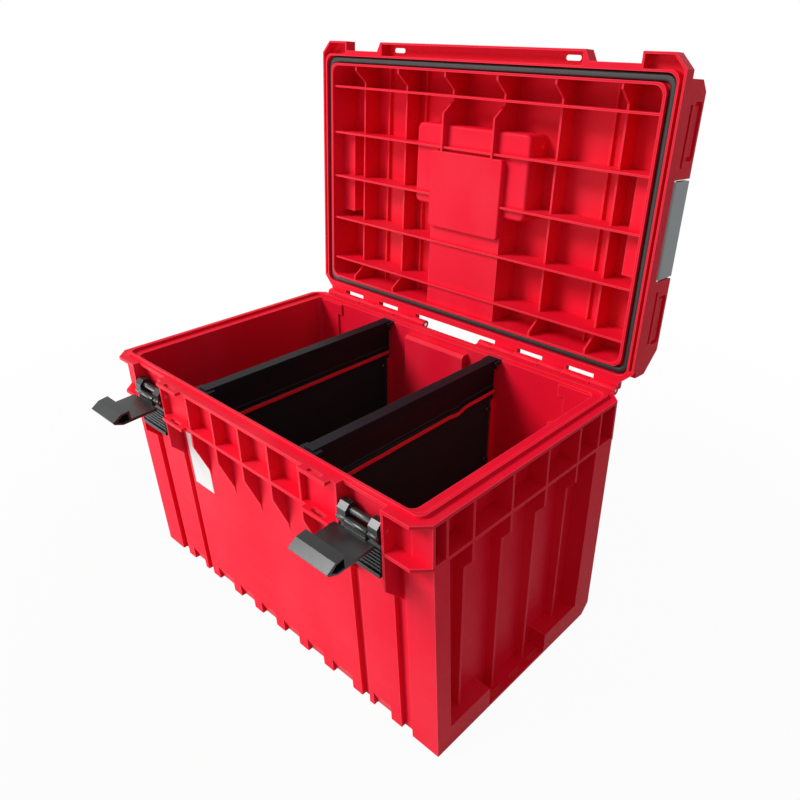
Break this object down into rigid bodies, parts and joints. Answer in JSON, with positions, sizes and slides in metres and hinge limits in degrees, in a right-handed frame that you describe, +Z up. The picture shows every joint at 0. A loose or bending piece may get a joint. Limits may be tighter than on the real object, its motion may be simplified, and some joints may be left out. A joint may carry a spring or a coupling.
{
  "type": "tool case",
  "caption": "Hard-shell stacking tool case with a ribbed tub, hinged gasketed lid standing open, front over-centre latches, fold-down carry handle and lift-out dividers with cloth pockets.",
  "frame": {"origin": "middle of the face that the case stands on", "axes": "+X to the right over the width, +Y from the latches to the hinges, +Z up"},
  "size_m": [0.576, 0.5222, 0.7048],
  "materials": {
    "shell_red": "satin-gloss moulded plastic",
    "latch_grey": "smooth moulded plastic",
    "lock_grey": "fine-grained moulded plastic",
    "pin_steel": "plain turned",
    "seal_rubber": "foam rubber",
    "divider_black": "fine-grained moulded plastic",
    "cloth_black": "close woven cloth",
    "binding_red": "woven tape",
    "label_white": "plain film"
  },
  "bodies": {
    "case": {"case_shell": "shell_red", "hinge_pin_left": "pin_steel", "hinge_pin_right": "pin_steel", "latch_left_lever_pin": "pin_steel", "latch_right_lever_pin": "pin_steel", "blank_label": "label_white"},
    "lid": {"lid_shell": "shell_red", "lid_gasket": "seal_rubber", "handle_pin_left": "pin_steel", "handle_pin_right": "pin_steel", "stack_lock_pin_left": "pin_steel", "stack_lock_pin_right": "pin_steel"},
    "handle": {"carry_handle": "lock_grey"},
    "latch_lever_left": {"latch_left_lever": "latch_grey", "latch_left_hook_pin": "pin_steel"},
    "latch_hook_left": {"latch_left_hook": "latch_grey"},
    "stack_lock_left": {"stack_lock_left": "lock_grey"},
    "divider_left": {"divider_left_rail": "divider_black", "divider_left_board": "divider_black", "divider_left_pocket": "cloth_black", "divider_left_binding": "binding_red", "divider_left_stud_upper": "divider_black", "divider_left_stud_lower": "divider_black"},
    "latch_lever_right": {"latch_right_lever": "latch_grey", "latch_right_hook_pin": "pin_steel"},
    "latch_hook_right": {"latch_right_hook": "latch_grey"},
    "stack_lock_right": {"stack_lock_right": "lock_grey"},
    "divider_right": {"divider_right_rail": "divider_black", "divider_right_board": "divider_black", "divider_right_pocket": "cloth_black", "divider_right_binding": "binding_red", "divider_right_stud_upper": "divider_black", "divider_right_stud_lower": "divider_black"}
  },
  "joints": [
    {"name": "lid_hinge", "type": "hinge", "parent": "case", "child": "lid", "pos_m": [0, 0.19, 0.326], "axis": [-1, 0, 0], "range_deg": [-94.2, 0]},
    {"name": "carry_handle_hinge", "type": "hinge", "parent": "lid", "child": "handle", "pos_m": [0, 0.24952, 0.59035], "axis": [1, 0, 0], "range_deg": [0, 95]},
    {"name": "latch_lever_left_hinge", "type": "hinge", "parent": "case", "child": "latch_lever_left", "pos_m": [-0.2035, -0.174, 0.3015], "axis": [-1, 0, 0], "range_deg": [0, 100]},
    {"name": "latch_hook_left_hinge", "type": "hinge", "parent": "latch_lever_left", "child": "latch_hook_left", "pos_m": [-0.2035, -0.181, 0.293], "axis": [1, 0, 0], "range_deg": [-93, 0]},
    {"name": "stack_lock_left_hinge", "type": "hinge", "parent": "lid", "child": "stack_lock_left", "pos_m": [-0.284, 0.23221, 0.51843], "axis": [0, 0.0732, 0.9973], "range_deg": [0, 45]},
    {"name": "divider_left_lift", "type": "slide", "parent": "case", "child": "divider_left", "axis": [0, 0, 1], "range_m": [0, 0.3]},
    {"name": "latch_lever_right_hinge", "type": "hinge", "parent": "case", "child": "latch_lever_right", "pos_m": [0.2035, -0.174, 0.3015], "axis": [-1, 0, 0], "range_deg": [0, 100]},
    {"name": "latch_hook_right_hinge", "type": "hinge", "parent": "latch_lever_right", "child": "latch_hook_right", "pos_m": [0.2035, -0.181, 0.293], "axis": [1, 0, 0], "range_deg": [-93, 0]},
    {"name": "stack_lock_right_hinge", "type": "hinge", "parent": "lid", "child": "stack_lock_right", "pos_m": [0.284, 0.23221, 0.51843], "axis": [0, -0.0732, -0.9973], "range_deg": [0, 45]},
    {"name": "divider_right_lift", "type": "slide", "parent": "case", "child": "divider_right", "axis": [0, 0, 1], "range_m": [0, 0.3]}
  ]
}
